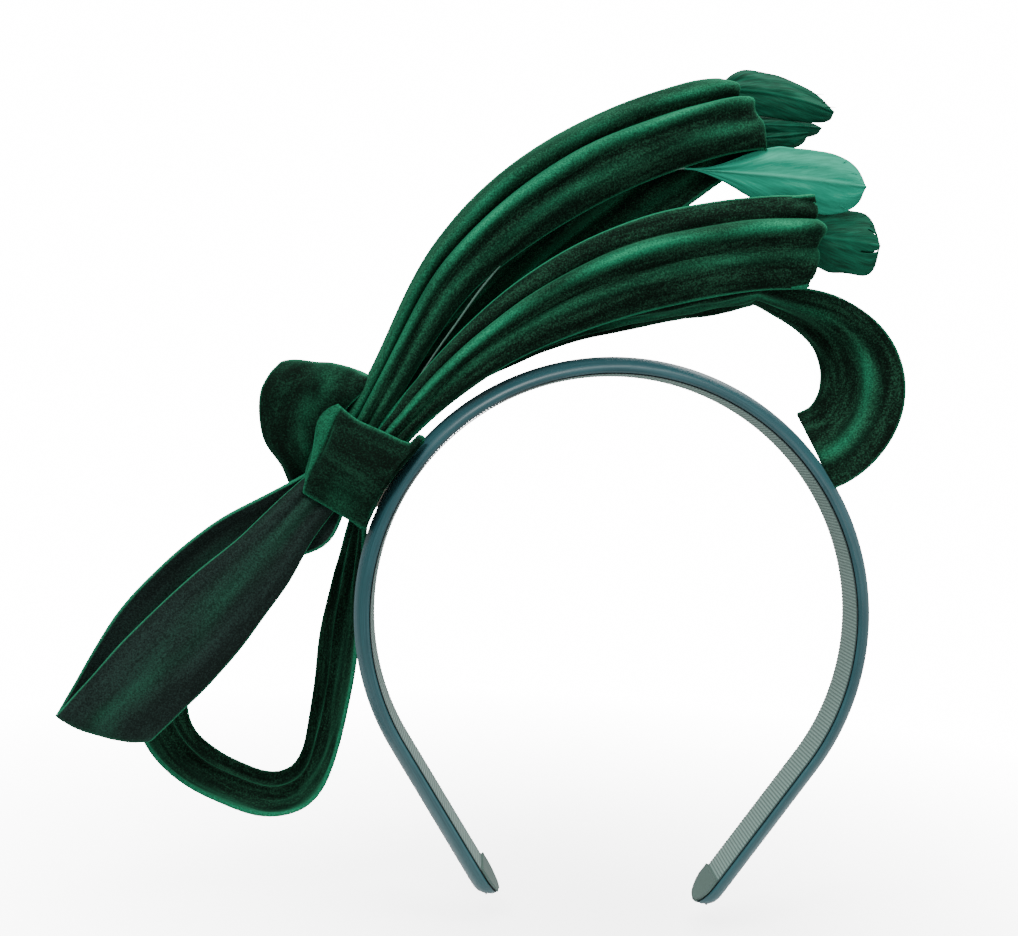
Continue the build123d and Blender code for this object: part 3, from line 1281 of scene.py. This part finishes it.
def feathers() -> list[Plume]:
    """Lay out the dark and light feathers at the ends of the two upper loops.

    Returns:
        The feathers, the large light one first.
    """
    return [
        Plume("large_feather", Vector((0.0105, -0.0020, 0.1195)), 0.0495, math.radians(1), 0.0168,
              droop=0.0030, broad_at=0.58, blunt=0.28, slits=((0.05, 0.965),), barbs=6, seed=1.0),
        Plume("upper_dark_feather", Vector((0.016, 0.0036, 0.1415)), 0.034, math.radians(13), 0.0125,
              droop=0.0115, broad_at=0.4, blunt=0.6, slits=(), barbs=5, seed=2.0),
        Plume("lower_dark_feather", Vector((0.017, 0.0058, 0.133)), 0.032, math.radians(8), 0.0065,
              droop=0.0035, broad_at=0.4, blunt=0.5, slits=(), barbs=4, seed=3.0),
        Plume("small_feather", Vector((0.022, 0.0064, 0.130)), 0.024, math.radians(4), 0.0065,
              droop=-0.0010, broad_at=0.4, slits=(), barbs=0, seed=4.0),
        Plume("lower_loop_feather", Vector((0.032, -0.0004, 0.104)), 0.033, math.radians(4), 0.017,
              droop=0.0040, broad_at=0.62, blunt=0.14, slits=((0.45, 0.88), (-0.30, 0.82)),
              barbs=12, layers=2, seed=5.0),
    ]


# ---------------------------------------------------------------- studio
@dataclass
class Studio:
    """Pale floor, soft lights and the camera."""

    eye: Vector = field(default_factory=lambda: Vector((-0.0403, -0.357, 0.0436)))
    target: Vector = field(default_factory=lambda: Vector((-0.0301, -0.007, 0.0378)))
    roll: float = math.radians(3.3)
    lens: float = 47.3
    floor_size: float = 6.0
    pale: tuple = (0.92, 0.92, 0.92)

    def camera(self) -> None:
        """Make the camera."""
        data = bpy.data.cameras.new("camera")
        data.lens = self.lens
        data.clip_start, data.clip_end = 0.01, 50.0
        camera = bpy.data.objects.new("camera", data)
        aim = (self.target - self.eye).to_track_quat("-Z", "Y").to_matrix().to_4x4()
        camera.matrix_world = Matrix.Translation(self.eye) @ aim @ Matrix.Rotation(self.roll, 4, "Z")
        bpy.context.scene.collection.objects.link(camera)
        bpy.context.scene.camera = camera

    def light(self, name: str, place: tuple, size: float, power: float) -> None:
        """Make one soft area light that faces the headband.

        Args:
            name: The light's name.
            place: Where it stands.
            size: Its width.
            power: Its power in watts.
        """
        data = bpy.data.lights.new(name, "AREA")
        data.shape, data.size, data.energy = "DISK", size, power
        lamp = bpy.data.objects.new(name, data)
        lamp.location = place
        lamp.rotation_euler = (Vector((0, 0, 0.02)) - Vector(place)).to_track_quat("-Z", "Y").to_euler()
        bpy.context.scene.collection.objects.link(lamp)

    def floor(self) -> None:
        """Make the pale floor, which thins out into the surroundings."""
        nodes = Nodes("pale_floor")
        nodes.surface(Base_Color=(*self.pale, 1), Roughness=0.9)
        distance = nodes.add("VectorMath", operation="LENGTH")
        nodes.link(nodes.add("TexCoord").outputs["Object"], distance.inputs[0])
        thin = nodes.ramp(distance.outputs["Value"], ((0.03, (0.9, 0.9, 0.9)), (0.34, (0, 0, 0))))
        nodes.link(thin, nodes.shader.inputs["Alpha"])
        mesh = bmesh.new()
        bmesh.ops.create_grid(mesh, x_segments=1, y_segments=1, size=self.floor_size / 2)
        bmesh.ops.translate(mesh, verts=mesh.verts, vec=(0, 0, CAD_BOX[0][2] - 0.004))
        to_object(mesh, "floor", nodes.material)

    def surroundings(self) -> None:
        """Make the pale room that lights the headband from all sides and looks white behind it."""
        world = bpy.data.worlds.new("pale_room")
        world.use_nodes = True
        tree = world.node_tree
        backdrop = tree.nodes["Background"]
        backdrop.inputs["Color"].default_value = (1, 1, 1, 1)
        seen = tree.nodes.new("ShaderNodeLightPath")
        strength = tree.nodes.new("ShaderNodeMapRange")
        strength.inputs["To Min"].default_value = 0.55
        strength.inputs["To Max"].default_value = 16.0
        tree.links.new(seen.outputs["Is Camera Ray"], strength.inputs["Value"])
        tree.links.new(strength.outputs["Result"], backdrop.inputs["Strength"])
        bpy.context.scene.world = world

    def build(self) -> None:
        """Make the floor, the lights, the pale surroundings and the camera."""
        self.camera()
        self.floor()
        self.surroundings()
        self.light("key", (-0.5, -0.7, 1.0), 0.5, 15.0)
        self.light("top", (0.1, -0.1, 1.1), 0.6, 14.0)
        self.light("fill", (0.9, -0.8, 0.3), 0.9, 4.0)
        self.light("back", (0.2, 0.9, 0.9), 0.8, 6.0)


def dress(node: str, material: bpy.types.Material) -> None:
    """Give a CAD node that stays shown a better finish.

    Args:
        node: The node's name.
        material: Its finish.
    """
    for item in frame["nodes"][node].material_slots:
        item.material = material


def main() -> None:
    """Build the headband round the frame."""
    logging.basicConfig(level=logging.INFO, format="%(message)s")
    velvet = Velvet().make()
    # Painted sheen: the leaf loop's velvet is greyer and paler to stand in for the light its pile reflects.
    sheen_painted_velvet = Velvet("smooth_green_velvet_painted_sheen",
                         deep=(0.0060, 0.0100, 0.0088), body=(0.0110, 0.0200, 0.0175),
                         brushed_and_highlit=(0.0150, 0.0340, 0.0280), streaks=(20.0, 160.0, 1.0)).make()
    dark_velvet = Velvet("dark_green_velvet", body=(0.0030, 0.0125, 0.0070),
                         brushed_and_highlit=(0.0068, 0.0330, 0.0180), streaks=(90.0, 260.0, 1.0)).make()
    own_velvet = {"leaf_loop": sheen_painted_velvet, "fold_over_loop": dark_velvet}
    satin = Satin().make()
    ribbed = Grosgrain().make()
    light_vane = Feather("light_feather", (0.010, 0.190, 0.115), (0.024, 0.300, 0.190),
                         (0.060, 0.400, 0.265)).make()
    dark_vane = Feather("dark_feather", (0.0008, 0.028, 0.014), (0.004, 0.100, 0.055),
                        (0.008, 0.140, 0.078)).make()
    quill = Plain("pale_quill", (0.10, 0.22, 0.17), 0.45).make()
    plastic = Plain("core_plastic", (0.03, 0.03, 0.03), 0.5).make()
    glue = Plain("dried_glue", (0.55, 0.52, 0.42), 0.4).make()
    thread = Plain("binding_thread", (0.01, 0.05, 0.03), 0.8).make()
    tab_satin = Plain("tab_satin", (0.055, 0.105, 0.088), 0.6, 2400.0).make()

    Studio().build()
    Band().build(satin, ribbed)
    ribbons = bow_ribbons()
    for ribbon in ribbons:
        ribbon.build(own_velvet.get(ribbon.node, velvet))
    Knot().build(dark_velvet)
    for plume in feathers():
        plume.build(light_vane if plume.label == "large_feather" else dark_vane)
    Stem(ribbons[0], feathers()[0].place(0.03, 0.0)).build(quill)
    for node in ("crown_core", "left_arm_core", "right_arm_core"):
        dress(node, plastic)
    for node in ("left_tip_tab", "right_tip_tab"):
        dress(node, tab_satin)
    dress("knot_glue_pad", glue)
    dress("binding_thread", thread)
    dress("ribbon_gather", velvet)


if __name__ == "__main__":
    main()
